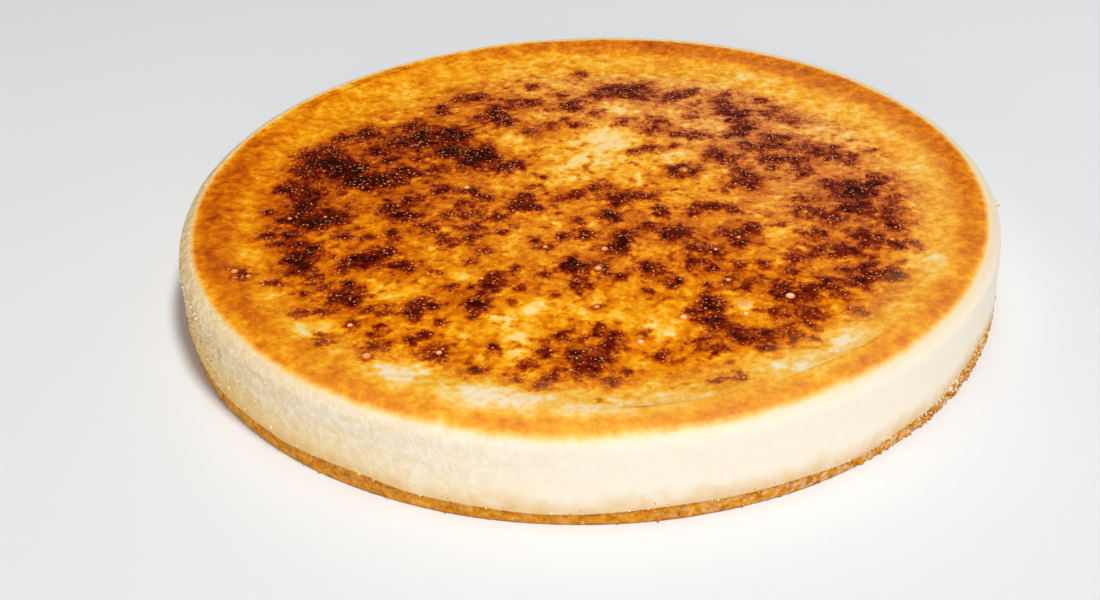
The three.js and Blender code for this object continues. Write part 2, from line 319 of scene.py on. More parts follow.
# %% Char spots: x, y and reach in millimetres
SPOTS = [
    # Back left
    (-88, 27, 3.5), (-82, 24, 4.5), (-79, 21, 4), (-82, 30, 3), (-74, 20, 3), (-74, 15.5, 5),
    (-71, 13, 3.5), (-87, 16, 4), (-85, 5, 4), (-92, 5, 2.5), (-66, 28.5, 3.6), (-70, 8, 3),
    (-65, 10, 3), (-61, 7.5, 4), (-57, 13, 3.5), (-55, 16, 2.5), (-61, 22, 2.2), (-45, 42, 3.4),
    (-41, 40, 3.6), (-40, 37, 3), (-54, 37, 4.5), (-53, 33, 4), (-52, 41, 4), (-60, 35, 3.6),
    (-70, 40, 4), (-70, 43.5, 2.8), (-78, 38, 3), (-43, 29, 3.2), (-44.5, 26, 3.2),
    (-40, 25.5, 2.4), (-34, 27, 3.2), (-33, 23.5, 3.4), (-30, 24.5, 2.6), (-35.5, 20, 3.8),
    (-24, 16, 3.4), (-21.5, 18, 2.4), (-28, 55, 3), (-28, 51, 3.2), (-26, 47.5, 3),
    (-30, 60, 2.8), (-34, 52, 3.2), (-56, 50, 2.8), (-57, 46, 2.8), (-47, 58.5, 2.8),
    (-48, 62, 2), (-41, 68, 2.8), (-35, 68.5, 3.2), (-24, 63, 2.6), (-19, 63, 3.2),
    (-16, 61, 2.2), (-18, 40, 2.6), (-44, 3.5, 3.2), (-35, 1.5, 2.6), (-46, 16, 2.4),
    (-51, 12, 2), (-27, 15, 1.8), (-52, 23, 1.8), (-18, 76, 2.4), (-31, 31, 2.2),
    # Back right
    (-1, 85, 2.6), (10, 72.5, 4), (6, 70, 3), (4.5, 66, 2.4), (19, 73.5, 4), (16, 68.5, 4),
    (19, 65, 3), (31, 65.5, 3.6), (28, 62, 2), (47, 64, 3), (46, 58.5, 2.8), (-6, 59, 2.4),
    (-4, 56, 2.6), (-12, 44.5, 2.4), (-7, 48, 1.8), (-3, 44, 2), (24, 46.5, 3.4), (21, 39, 2.8),
    (34, 36, 3), (29, 37, 1.8), (45, 33, 2.8), (46, 49.5, 3.2), (48, 45, 2.8), (46, 54, 2.4),
    (53, 51, 2.6), (52, 42, 3.4), (51, 38, 2.8), (60, 48, 2.4), (67, 43.5, 2.8), (58, 59, 2.2),
    (63, 53, 1.8), (50, 27.5, 2.6), (54, 24.5, 2.6), (57.5, 26, 2.4), (59, 32, 2.8),
    (63, 31, 2.2), (68, 23, 3.4), (72, 21.5, 2.2), (57, 16.5, 3.2), (57, 12, 1.8), (64, 16, 2.8),
    (42, 18, 3.6), (40, 21.5, 2.4), (45, 17, 2.4), (15, 24, 2.2), (20, 27.5, 2), (28, 28, 1.8),
    (26.2, 9.5, 1.9), (32.8, 9.5, 1.9), (29.5, 13, 2.8), (29.5, 6.4, 1.3), (47, 8, 3.2),
    (48, 4, 3), (49.5, 0.5, 2.2), (65, 7, 3.2), (3.5, 1, 2.6),
    (0, 14.5, 1.6), (74.5, 17, 2.8), (82, 17.5, 2.2), (80, 12, 2.6), (36, 57, 1.8), (35, 49, 2),
    (37, 68, 2), (-8, 68, 2), (-3, 62, 2.2), (3, 53, 1.8), (12, 45, 2), (77, 22, 1.6),
    # Right
    (74, -3.5, 3.4), (75, -7, 2.4), (82, -4, 4.2), (80.5, -7.5, 2.8), (86, 0, 2.8), (88, 2.5, 2),
    (72, 0, 2.4), (77.5, -1, 2.4), (77, -15.5, 4), (73.5, -14.5, 2.2), (80, -15, 2.2),
    (63, -8.5, 2.6), (61, -16.5, 2.6), (65, -17, 2.8), (64, -20, 1.8), (70, -22, 2.4),
    (85, -21, 2.2), (85, -25, 2.4), (87, -28, 1.8), (91, -18, 1.8), (86, -17.5, 1.8),
    (90, -10, 1.8), (60, -29, 2.2), (65, -29, 2.4), (77, -30.5, 3.4), (79, -34, 2.6),
    (84, -36.5, 3), (63, -38, 3), (68, -41, 2.4), (72, -38.5, 3.2), (56, -42, 2.6),
    (47, -25, 2.6), (45, -27, 2.4), (42, -30.5, 2.4), (37.5, -28, 2), (42, -34, 1.8),
    (26, -27.5, 3.6), (22, -28, 2), (21.5, -13, 2.4), (21.5, -17, 1.8), (30, -36.5, 2.6),
    (34.5, -38, 2.6), (32, -12, 2.2), (37, -12, 2), (41, -13.5, 2.6), (30, -16.5, 1.8),
    (28, -44, 2.2), (33, -45, 2.4), (41, -45, 2), (47.5, -45, 2.2), (55, -24, 1.4),
    (75, -47, 1.8), (80, -50, 2.2), (89, 20.5, 1.2), (97, -8, 1.2), (18.5, -5, 2.2),
    (8.5, -6.2, 3.2), (12, -6, 2.2), (7.5, -16.5, 2.8), (5.5, -15, 2), (17, -22.3, 2.4),
    (54.5, -49, 1.8), (70, -48, 1.8), (89, -36, 1.4), (91, -38.5, 1.2), (44, 0, 1.6),
    # Front
    (-1, -26, 2.8), (-7, -26, 2), (10.5, -27, 2.8), (9, -33, 3.4), (7, -35.5, 2.4),
    (-12, -32.7, 2), (-5, -42, 3), (-5, -45, 2.4), (2.5, -45, 2.8), (18, -47, 3.2),
    (15, -45, 1.8), (-2.5, -52.5, 3), (-12.5, -47, 1.8), (8, -50, 2), (-9, -57.5, 1.4),
    (23, -53, 2.2), (22, -56.5, 1.4), (16, -57, 1.4), (31, -62, 2.8), (33, -67, 2.8),
    (32, -73.5, 3.2), (29, -71, 1.8), (38, -52.5, 2.2), (40.5, -56.5, 2.2), (32, -56, 1.8),
    (45, -52.5, 1.8), (51, -54, 1.4), (52, -62, 3.6), (51, -57.5, 2), (58, -58.5, 3.6),
    (64, -55, 3), (47.5, -68.5, 2.4), (57, -69, 2.4), (56, -73, 1.8), (40, -80.5, 2.8),
    (44, -79, 2.4), (50, -77, 2.4), (36.5, -77, 2), (26, -67, 1.8), (4.5, -81, 2.8),
    (2.5, -73, 1.8), (6, -77, 2), (-2, -77.5, 1.6), (-8, -76.5, 1.8), (-11, -84.5, 2.6),
    (-16, -89, 2.4), (-3.5, -86, 2.8), (1, -88, 2.4), (-1, -92, 2.4), (-3, -94, 1.8),
    (5, -96, 2), (8.5, -93.5, 1.4), (17.5, -86, 1.8), (26.5, -82, 2), (31.5, -85, 2),
    (-12.5, -98, 2.2), (-18, -95, 1.3), (-9, -94, 1.4), (-28.5, -91.5, 2.2), (-25, -82, 1.8),
    (35.5, -98, 2.4), (30, -98, 1.5), (1.5, -105.5, 1), (51, -81.5, 1.8), (56.5, -81.5, 1.6),
    (44, -85, 1.6), (73, -55, 3.4), (74, -51.5, 2.2), (82, -51, 2.2), (81, -54.5, 1.8),
    (67, -60, 1.8), (68, -68, 1.5), (70.5, -71, 1.5), (2, -64, 1.5), (13, -76, 1.4),
    # Left
    (-87, -12.5, 3.4), (-80, -15.5, 3.4), (-76, -15, 3.2), (-73.5, -11.5, 4), (-85, -4, 3.4),
    (-82, -5, 2.6), (-92, -22, 2.6), (-94, -8, 1.8), (-85, -22, 2.2), (-88, -27, 1.8),
    (-80, -28.5, 2.4), (-79, -33, 3.4), (-83, -36, 2.2), (-80, -39.5, 3), (-78, -42, 2.4),
    (-74, -47, 2.2), (-64, -36, 3.6), (-60, -38, 2.6), (-67, -40, 2), (-53, -40, 2.6),
    (-50, -41.5, 2.6), (-56, -33, 2.8), (-70, -24, 2), (-63, -25, 1.8), (-55.5, -24, 2.2),
    (-59, -8.5, 3.2), (-53, -3, 2.6), (-52, -13.5, 3.4), (-56, -13, 1.8), (-40, -29, 2.8),
    (-45, -20.5, 2.4), (-34, -13, 2.8), (-32.5, -21, 2.8), (-26, -15.5, 2.4), (-41, -13, 1.8),
    (-31, -3, 2.6), (-18, -3.5, 3.2), (-20, -9.5, 2.8), (-15, -10, 2), (-29, -33, 1.8),
    (-33, -27, 1.8), (-86, -47.5, 2), (-95, -44, 2.6), (-64.5, -52, 2.4), (-68, -56, 2.4),
    (-63, -57, 3.4), (-65, -48, 1.6), (-77, -53, 1.2), (-71, -52, 1.3), (-27, -53, 3.6),
    (-25, -48, 2.2), (-43, -60, 2.8), (-46, -63, 2.4), (-45.5, -67, 2), (-58, -63, 2),
    (-53, -63, 1.8), (-28.5, -62, 2.6), (-32, -61, 1.8), (-30, -67, 1.4), (-77, -63, 1.7),
    (-71, -62, 1.8), (-62, -69.5, 2.2), (-54, -79.5, 2.6), (-56, -84.5, 1.8), (-68, -78, 2.2),
    (-69.5, -73.5, 1.5), (-46, -77.5, 1.8), (-42, -75.5, 2), (-41, -82, 2.2), (-38, -84, 2.8),
    (-54, -71, 1.6), (-39, -70, 1.3), (-3, -2.5, 2.4), (-8, -5, 1.8), (-15, -28, 1.4),
    (-3.5, -18, 1.6), (-13, 9, 1.3), (-15, 4, 1.3), (-24, -23, 1.6), (-38, -7, 1.8),
    (-20, -43, 1.5), (-33, -39, 1.6), (-42, -45, 1.6), (-37, -53, 1.4), (-18, -54, 1.3),
]
print(len(SPOTS), "char spots")
# Spots that charred almost black, from the list above
BLACKEST = [
    (-81, 22, 6), (-74, 15.5, 5), (-66, 28.5, 3.6), (-43, 40, 5.5), (-43, 27.5, 4.5), (-33.5, 25, 5),
    (10, 72, 4.5), (18, 72, 4.5), (31, 65.5, 3.5), (52, 41, 3.6), (29.5, 13, 2.4), (82, -5, 4.5),
    (77, -15.5, 4.5), (77, -31, 4), (72, -38.5, 3), (7.5, -16.5, 2.6), (26, -27.5, 3.4),
    (9, -33.5, 3.2), (-5, -43, 3), (18, -47, 3.2), (-87, -12.5, 3), (-74, -11.5, 4.5),
    (-79, -33, 3.2), (-80, -39.5, 3), (-64, -36, 3.4), (-63, -57, 3.2), (-27, -53, 3.2),
    (32, -73.5, 3), (52, -62, 3.6), (58, -58.5, 3.6), (64, -55, 3), (73, -55, 3.2),
]
CHAR_SPREAD = 1.28
CHAR_STRENGTH = 0.94
# Share of the full charring round the cake, outside its heart
CHAR_SHARE = [0.84, 0.84, 0.89, 0.95, 0.98, 0.93, 0.95, 0.88]
HALO_SPREAD = 2.0
HALO_STRENGTH = 0.42
HALO_HEAT = 0.31
BLACK_HEAT = 0.08


def spot_field(x, y, spread, strength):
    """0 far from every spot, rising towards 1 where spots are near or overlap."""
    clear = np.ones_like(x)
    for px, py, reach in SPOTS:
        near = (x - px) ** 2 + (y - py) ** 2
        clear = clear * (1 - strength * np.exp(-near / (spread * reach) ** 2))
    return 1 - clear


def char_field(x, y):
    share = blend(1, around(CHAR_SHARE, x, y), off_heart(x, y))
    return share * spot_field(x, y, CHAR_SPREAD, CHAR_STRENGTH)


def black_share(x, y):
    """1 in the middle of the blackest spots."""
    return np.minimum(total_field([spot + (1.0,) for spot in BLACKEST], x, y), 1.0)


def ground_heat(x, y):
    """Heat of the skin round the spots: the broad browning and the brown halo of each spot."""
    halo = spot_field(x, y, HALO_SPREAD, HALO_STRENGTH)
    return broad_heat(x, y) + HALO_HEAT * halo + BLACK_HEAT * black_share(x, y)


# %% [markdown]
# Both layers are turned forms. A profile is drawn as a few points from the axis out and
# back, spun about the axis, and then every vertex is moved to its place by the functions
# above.

# %% Helpers for pieces
def spin_profile(profile, steps):
    """Closed mesh of a profile of (radius, height) turned about the vertical axis."""
    mesh = bmesh.new()
    line = [mesh.verts.new((radius, 0, height)) for radius, height in profile]
    edges = [mesh.edges.new(pair) for pair in zip(line, line[1:])]
    bmesh.ops.spin(mesh, geom=line + edges, cent=(0, 0, 0), axis=(0, 0, 1), angle=2 * math.pi,
                   steps=steps, use_merge=True)
    bmesh.ops.remove_doubles(mesh, verts=mesh.verts, dist=1e-5)
    bmesh.ops.recalc_face_normals(mesh, faces=mesh.faces)
    return mesh


def to_object(mesh, name, material):
    data = bpy.data.meshes.new(name)
    mesh.to_mesh(data)
    mesh.free()
    data.shade_smooth()
    data.materials.append(material)
    piece = put_in_scene(name, data)
    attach(piece, "root")
    return piece


def coordinates(piece):
    """The piece's vertices as an array with a row for each."""
    values = np.empty(3 * len(piece.data.vertices), dtype=np.float32)
    piece.data.vertices.foreach_get("co", values)
    return values.reshape(-1, 3).astype(float)


def set_coordinates(piece, points):
    piece.data.vertices.foreach_set("co", points.astype(np.float32).ravel())
    piece.data.update()


def set_attribute(piece, name, values):
    attribute = piece.data.attributes.new(name, "FLOAT", "POINT")
    attribute.data.foreach_set("value", values.astype(np.float32))


def grain(points, scale, seed):
    """Smooth noise between about -1 and 1 at every row of points."""
    shift = Vector((seed * 17.3, seed * 5.1, seed * 9.7))
    return np.array([noise.noise(Vector(point) / scale + shift) for point in points])


def spread(count, start, end):
    return [start + (end - start) * (index + 1) / count for index in range(count)]


# %% [markdown]
# The cheese layer. Its side was baked against the tin: pale, matt and faintly streaked
# where the tin was lifted off, most of all on the left. Its skin is a thin, browned film
# with a soft gloss that lifts a little wherever it charred. Beside its shape, the layer
# gets one attribute for each field that its material has to follow.

# %% Sizes of the cheese layer
# Edges that turn by more than this stay sharp, such as those at the seam and the foot
SHARP_ANGLE = math.radians(50)
CHEESE_STEPS = 720
RING_SPACING = 1.5
WALL_SPACING = 1.0
SHOULDER_RINGS = 10
SEAM_RINGS = 4
# The skin lifts where the char is strong, from this strength on
CHAR_LIFT = 0.22
CHAR_LIFT_FADE = (0.3, 0.5)
SKIN_WRINKLE = 0.1
WRINKLE_SIZE = 4.0
STREAK_DEPTH = 0.5
SMOOTH_DEPTH = 0.06
# Fades along the layer's height from 0 to 1: the top, the side above the seam, and the end
# of the torn side under the shoulder, where this share of its depth is left
TOP_FADE = (0.98, 0.02)
SEAM_FADE = (0.0, 0.1)
TORN_FADE = (0.84, -0.16)
TORN_LEFT = 0.1
SIDE_FADE = (115.0, 4.0)
# Roughness of the side round the cake
STREAK_SHARE = [0.15, 0.3, 0.5, 0.9, 1.3, 0.4, 0.05, 0.05]
# How far the rim and the ring inside it are dull tan instead of a clear orange, and the
# distances from the edge where the tan starts, turns from rim to ring and ends
RIM_TAN = [0.0, 0.0, 0.0, 0.0, 0.0, 0.05, 0.36, 0.3]
RING_TAN = [0.3, 0.15, 0.05, 0.0, 0.0, 0.05, 0.15, 0.25]
TAN_START_FADE = (1.0, 2.5)
TAN_RING_FADE = (10.0, 5.0)
TAN_END_FADE = (28.0, -8.0)
TAN_STRENGTH = 0.65
# How lively the browning of the rim is mottled, against 1 inside
RIM_MOTTLE = [0.85, 0.95, 1.0, 1.0, 1.0, 0.9, 0.7, 0.8]
RIM_MOTTLE_FADE = (18.0, -8.0)
# How far the browning of the mottled zone, and that of the heart of the cake, is greyed: partly a
# duller tone, partly painted sheen
ZONE_DULL_AND_SHEEN = [0.1, 0.15, 0.09, 0.01, 0.0, 0.0, 0.0, 0.0]
HEART_DULL_AND_SHEEN = 0.02
RING_DULL_AND_SHEEN_SHARE = 0.1
# How far the pale side is painted yellower, as painted warm bounce light and shade, more so towards
# the foot, and painted shade on the shoulder all round
SIDE_PAINTED_BOUNCE = [0.0, 0.01, 0.03, 0.06, 0.1, 0.04, 0.0, 0.0]
UPPER_BOUNCE_SHARE = 0.7
FOOT_BOUNCE_SHARE = 2.1
FOOT_BOUNCE_FADE = (0.65, -0.5)
SHOULDER_PAINTED_SHADE = 0.04
CURD_WARMTH = 0.06
SHOULDER_SHADE_FADE = (0.82, 0.14)


# %% Cheese layer
def cheese_profile():
    foot = CAKE_HEIGHT - SHOULDER_HEIGHT
    inner = CAKE_RADIUS - SHOULDER_WIDTH
    seam_start = CAKE_RADIUS - LAYER_WAVE_DEPTH
    wall_rings = round((foot - BASE_THICKNESS) / WALL_SPACING)
    profile = [(0, BASE_THICKNESS), (seam_start, BASE_THICKNESS)]
    profile += [(r, BASE_THICKNESS) for r in spread(SEAM_RINGS, seam_start, CAKE_RADIUS)]
    profile += [(CAKE_RADIUS, z) for z in spread(wall_rings, BASE_THICKNESS, foot)]
    for turn in spread(SHOULDER_RINGS, 0, math.pi / 2):
        radius = inner + SHOULDER_WIDTH * math.cos(turn)
        profile.append((radius, foot + SHOULDER_HEIGHT * math.sin(turn)))
    profile += [(r, CAKE_HEIGHT) for r in spread(round(inner / RING_SPACING), inner, 0)]
    return profile


def shape_cheese(points):
    x, y, z = points.T
    radius = np.hypot(x, y)
    angle = np.arctan2(y, x)
    up = (z - BASE_THICKNESS) / (CAKE_HEIGHT - BASE_THICKNESS)
    outward = (radius / CAKE_RADIUS) ** 4
    new_radius = radius * (1 - WALL_TAPER * up / CAKE_RADIUS)
    new_radius = new_radius + outward * wave_height(WALL_WAVES, angle)
    low = seam_height(radius, angle) + LAYER_GAP
    return from_polar(new_radius, angle, low + up * (top_height(x, y) - low))


def skin_relief(points, char):
    """How far the skin stands above the plain top: lifted by the char, and wrinkled."""
    wrinkles = SKIN_WRINKLE * grain(points, WRINKLE_SIZE, 1)
    return CHAR_LIFT * fade(char, *CHAR_LIFT_FADE) + wrinkles


skin = new_material("baked_cream_cheese")
cheese = to_object(spin_profile(cheese_profile(), CHEESE_STEPS), "cheese_body", skin)
plain = coordinates(cheese)
points = shape_cheese(plain)
x, y = points.T[:2]
up = (plain[:, 2] - BASE_THICKNESS) / (CAKE_HEIGHT - BASE_THICKNESS)
char = char_field(x, y)
points[:, 2] += fade(up, *TOP_FADE) * skin_relief(points, char)
on_side = fade(np.hypot(plain[:, 0], plain[:, 1]), *SIDE_FADE) * fade(up, *SEAM_FADE)
on_side = on_side * blend(TORN_LEFT, 1, fade(up, *TORN_FADE))
streak_share = around(STREAK_SHARE, x, y)
streaks = 0.9 * grain(points * (1, 1, 0.8), 2.8, 2) + 0.8 * grain(points, 1.9, 3)
push = on_side * (STREAK_DEPTH * streak_share * streaks + SMOOTH_DEPTH * grain(points, 9.0, 6))
points[:, :2] *= (1 + push / CAKE_RADIUS)[:, None]
set_coordinates(cheese, points * MM)

# %% Fields that the skin's material follows
inset = CAKE_RADIUS - np.hypot(x, y)
tan = blend(around(RIM_TAN, x, y), around(RING_TAN, x, y), fade(inset, *TAN_RING_FADE))
tan = tan * fade(inset, *TAN_START_FADE) * fade(inset, *TAN_END_FADE)
# Greying of the browning towards the back and the right: partly a duller tone, partly painted sheen
dull_and_sheen = blend(HEART_DULL_AND_SHEEN, around(ZONE_DULL_AND_SHEEN, x, y), off_heart(x, y))
# Painted warm bounce light and shade on the side, strongest low down on the left
to_foot = blend(UPPER_BOUNCE_SHARE, FOOT_BOUNCE_SHARE, fade(up, *FOOT_BOUNCE_FADE))
painted_bounce_and_shade = around(SIDE_PAINTED_BOUNCE, x, y) * to_foot
# Painted shade on the shoulder, which evens out the key light there
painted_bounce_and_shade = painted_bounce_and_shade + SHOULDER_PAINTED_SHADE * fade(up, *SHOULDER_SHADE_FADE)
cheese_fields = {
    "ground": ground_heat(x, y),
    "char": char,
    "zone": zone_share(x, y),
    "up": up,
    "inset": inset,
    "edge": inset - around(EDGE_INSET, x, y),
    "fold": fold_share(np.arctan2(y, x)),
    "streak": streak_share,
    "tan": TAN_STRENGTH * tan,
    "lively": blend(1, around(RIM_MOTTLE, x, y), fade(inset, *RIM_MOTTLE_FADE)),
    "dull_and_sheen": dull_and_sheen * blend(RING_DULL_AND_SHEEN_SHARE, 1, zone_share(x, y)),
    "painted_warmth": painted_bounce_and_shade - CURD_WARMTH / 2,
}
for name, values in cheese_fields.items():
    set_attribute(cheese, name, values)
cheese.data.set_sharp_from_angle(angle=SHARP_ANGLE)
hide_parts("cheese_filling")
print("cheese layer:", len(cheese.data.polygons), "faces")

# %% [markdown]
# Baked cream cheese is a dense white custard whose skin browns like caramel: cream, yellow,
# amber, red-brown and at last black. So its material is one scale of heat, and one colour
# ramp turns heat into colour. Noise frays the char spots and gives the blots and pale gaps
# between them, and a pattern of cells gives the pale tips of the smallest bubbles, partly a
# painted highlight. A texture's scale is its repeats to the metre, so each one is worked out
# from the size in millimetres of what it draws.

# %% Heat of the skin in the material
BROWNING = [
    (0.00, "#f9f0df"), (0.07, "#fbe5b8"), (0.15, "#fbcd68"), (0.24, "#f8b01c"),
    (0.33, "#ea8f09"), (0.43, "#d46d03"), (0.53, "#b65206"), (0.64, "#8e3304"),
    (0.76, "#781e02"), (0.88, "#5e1203"), (1.00, "#320a03"),
]

where = add(skin, "TexCoord").outputs["Object"]
at = {name: add(skin, "Attribute", attribute_name=name).outputs["Fac"] for name in cheese_fields}
# Soft noises from coarse to fine: size in millimetres, detail and roughness
SKIN_NOISES = [(11.0, 3.0, 0.55), (6.5, 2.0, 0.5), (5.0, 3.0, 0.55), (3.6, 2.0, 0.6),
               (2.9, 2.0, 0.55), (1.2, 2.0, 0.6)]
mottle, patches, curd, blots, frays, fine = [
    add(skin, "TexNoise", {
        "Vector": where, "Scale": per_metre(size), "Detail": detail, "Roughness": roughness})
    for size, detail, roughness in SKIN_NOISES]
TINY_SPACING = 1.35
cells = add(skin, "TexVoronoi", {"Vector": where, "Scale": per_metre(TINY_SPACING)})
chance = add(skin, "SeparateColor", {"Color": cells.outputs["Color"]}).outputs["Red"]
dome = add(skin, "MapRange", {
    "Value": cells.outputs["Distance"], "From Min": 0.55, "From Max": 0.05}, **SOFT)
near_spot, grouped, upper, lucky = [
    add(skin, "MapRange", {"Value": value, "From Min": low, "From Max": high})
    for value, low, high in ((at["char"], 0.02, 0.2), (patches, 0.36, 0.58),
                             (at["up"], 0.72, 0.84), (chance, 0.25, 0.95))]
# Char spots with soft, dotted edges, from the field on the vertices
ragged = at["char"]
for pattern, weight in ((frays, 1.3), (fine, 0.7), (dome, 0.25)):
    ragged = add(skin, "Math", {0: pattern, 1: weight, 2: ragged}, operation="MULTIPLY_ADD")
burnt = add(skin, "MapRange", {"Value": ragged, "From Min": 1.12, "From Max": 2.1}, **SOFT)
burnt = add(skin, "Math", {0: burnt, 1: near_spot}, operation="MULTIPLY")
# Soft red-brown blots between them, in loose groups
blot = add(skin, "MapRange", {"Value": blots, "From Min": 0.5, "From Max": 0.7}, **SOFT)
for share in (grouped, at["zone"]):
    blot = add(skin, "Math", {0: blot, 1: share}, operation="MULTIPLY")
# The ground drifts up and down by a mix of noises, whose mean this level takes off
drift = -0.58
for pattern, weight in ((mottle, 0.28), (patches, 0.2), (frays, 0.44), (fine, 0.22)):
    drift = add(skin, "Math", {0: pattern, 1: weight, 2: drift}, operation="MULTIPLY_ADD")
heat = add(skin, "Math", {0: drift, 1: at["lively"], 2: at["ground"]}, operation="MULTIPLY_ADD")
heat = add(skin, "Math", {0: blot, 1: 0.28, 2: heat}, operation="MULTIPLY_ADD")
# Pale gaps between the blots, where the skin browned least
gap = add(skin, "MapRange", {"Value": curd, "From Min": 0.53, "From Max": 0.68}, **SOFT)
gap = add(skin, "Math", {0: gap, 1: at["zone"]}, operation="MULTIPLY")
heat = add(skin, "Math", {0: gap, 1: -0.13, 2: heat}, operation="MULTIPLY_ADD")
least = add(skin, "Math", {0: at["zone"], 1: 0.12}, operation="MULTIPLY")
heat = add(skin, "Math", {0: heat, 1: least}, operation="MAXIMUM")
heat = add(skin, "Math", {0: burnt, 1: 0.38, 2: heat}, operation="MULTIPLY_ADD")

# %% The fold line, the edge of the browning and the pale side
# A thin dark line of painted shade in the crease where the skin of the rim folds over, with a
# painted highlight on the pale lip inside it. In the ramp across the fold, mid grey changes
# nothing, and lighter is browner.
MID_GREY = linear("#808080")[0]
wobble = add(skin, "Math", {0: mottle, 1: 2.4, 2: at["inset"]}, operation="MULTIPLY_ADD")
fold_shade_and_lip_glint = add(skin, "ValToRGB", {"Fac": add(skin, "MapRange", {
    "Value": wobble, "From Min": 9.8, "From Max": 15.8})}, stops=[
    (0.2, "#808080"), (0.28, "#c4c4c4"), (0.34, "#808080"), (0.44, "#505050"),
    (0.6, "#6c6c6c"), (0.9, "#808080")])
fold_shade_and_lip_glint = add(skin, "Math", {0: fold_shade_and_lip_glint, 1: MID_GREY}, operation="SUBTRACT")
broken = add(skin, "MapRange", {
    "Value": patches, "From Min": 0.4, "From Max": 0.6, "To Min": 0.2})
for share in (at["fold"], broken):
    fold_shade_and_lip_glint = add(skin, "Math", {0: fold_shade_and_lip_glint, 1: share}, operation="MULTIPLY")
# The painted crease shade and lip highlight go into the heat
heat = add(skin, "Math", {0: fold_shade_and_lip_glint, 1: 0.7, 2: heat}, operation="MULTIPLY_ADD")
edge = add(skin, "Math", {0: mottle, 1: 0.7, 2: at["edge"]}, operation="MULTIPLY_ADD")
edge = add(skin, "Math", {0: frays, 1: 0.2, 2: edge}, operation="MULTIPLY_ADD")
skin_share = add(skin, "MapRange", {
    "Value": edge, "From Min": -0.75, "From Max": 2.05}, **SOFT)
skin_share = add(skin, "Math", {0: skin_share, 1: upper}, operation="MULTIPLY")
heat = add(skin, "Math", {0: heat, 1: skin_share}, operation="MULTIPLY")
# The side's lowest heat carries the painted bounce light and the shoulder's painted shade, with the
# curds' random tone
pale = add(skin, "Math", {0: curd, 1: CURD_WARMTH, 2: at["painted_warmth"]}, operation="MULTIPLY_ADD")
heat = add(skin, "Math", {0: heat, 1: pale}, operation="MAXIMUM")
# Pale tips of the smallest bubbles in the char, some 0.5 mm across: partly their own paler skin,
# partly a painted highlight
tip_paleness_and_glints = add(skin, "MapRange", {
    "Value": cells.outputs["Distance"], "From Min": 0.34, "From Max": 0.16})
charred = add(skin, "Math", {0: blot, 1: 0.6, 2: burnt}, operation="MULTIPLY_ADD", use_clamp=True)
for share in (lucky, charred):
    tip_paleness_and_glints = add(skin, "Math", {0: tip_paleness_and_glints, 1: share}, operation="MULTIPLY")
# The side is torn where it stuck to the tin, with painted shade in the hollows, and stained by the
# biscuit.
# On its shoulder painted shade evens out the key light.
torn = add(skin, "TexNoise", {
    "Vector": add(skin, "Mapping", {"Vector": where, "Scale": (1.0, 1.0, 0.8)}),
    "Scale": per_metre(2.1), "Detail": 3.0, "Roughness": 0.7})
side_share = add(skin, "Math", {0: 1.0, 1: skin_share}, operation="SUBTRACT")
# Painted shade in the hollows of the torn side
crevice_shade_and_stain = add(skin, "MapRange", {
    "Value": torn, "From Min": 0.6, "From Max": 0.42, "To Max": 0.95})
crevice_shade_and_stain = add(skin, "Math", {0: crevice_shade_and_stain, 1: at["streak"]}, operation="MULTIPLY")
stained = add(skin, "Math", {0: at["up"], 1: -3.2, 2: curd}, operation="MULTIPLY_ADD")
stained = add(skin, "MapRange", {
    "Value": stained, "From Min": -0.5, "From Max": 0.75, "To Max": 0.75}, **SOFT)
crevice_shade_and_stain = add(skin, "Math", {0: crevice_shade_and_stain, 1: stained}, operation="MAXIMUM")
# Painted shade on the shoulder: a greyish cream that evens out the key light there
painted_shoulder_shade = add(skin, "MapRange", {
    "Value": at["up"], "From Min": 0.79, "From Max": 0.95, "To Max": 0.48})
crevice_shade_and_stain, painted_shoulder_shade = [
    add(skin, "Math", {0: share, 1: side_share}, operation="MULTIPLY")
    for share in (crevice_shade_and_stain, painted_shoulder_shade)]
# The browning, greyed towards the back and the right by a duller tone and painted sheen, and then
# each of these over it
skin_colour = add(skin, "ValToRGB", {"Fac": heat}, stops=BROWNING)
dull_sheen_grey = add(skin, "RGBToBW", {"Color": skin_colour})
for share, colour in (
        (at["dull_and_sheen"], dull_sheen_grey), (at["tan"], linear("#e3b06a")), (tip_paleness_and_glints, linear("#f2a252")),
        (crevice_shade_and_stain, linear("#dfae5a")), (painted_shoulder_shade, linear("#d4c6ab"))):
    skin_colour = add(skin, "Mix", {
        0: share, 6: skin_colour, 7: colour}, data_type="RGBA").outputs[2]

# %% Gloss and fine relief of the skin
lumps = add(skin, "Math", {0: dome, 1: burnt}, operation="MULTIPLY")
lumps = add(skin, "Math", {0: frays, 1: 0.8, 2: lumps}, operation="MULTIPLY_ADD")
for factor in (at["streak"], 8.0):
    torn = add(skin, "Math", {0: torn, 1: factor}, operation="MULTIPLY")
relief = add(skin, "Mix", {0: skin_share, 2: torn, 3: lumps}, data_type="FLOAT")
fine_relief = add(skin, "Bump", {"Strength": 0.45, "Distance": 0.0005, "Height": relief})
gloss = add(skin, "MapRange", {"Value": skin_share, "To Min": 0.5, "To Max": 0.27})
add(skin, "OutputMaterial", {0: add(skin, "BsdfPrincipled", {
    "Base Color": skin_colour, "Roughness": gloss, "Normal": fine_relief, "IOR": 1.45,
    "Specular IOR Level": 0.05, "Subsurface Weight": 0.08, "Subsurface Scale": 0.0015})})

# %% [markdown]
# The biscuit base is pressed crumb: dull, tan and grainy, and a little uneven at its edge.
# It closes the hair's breadth that the solids leave between the layers.

# %% Biscuit base
BISCUIT_STEPS = 900
BISCUIT_RINGS = 9
CRUMB_RELIEF = 0.35
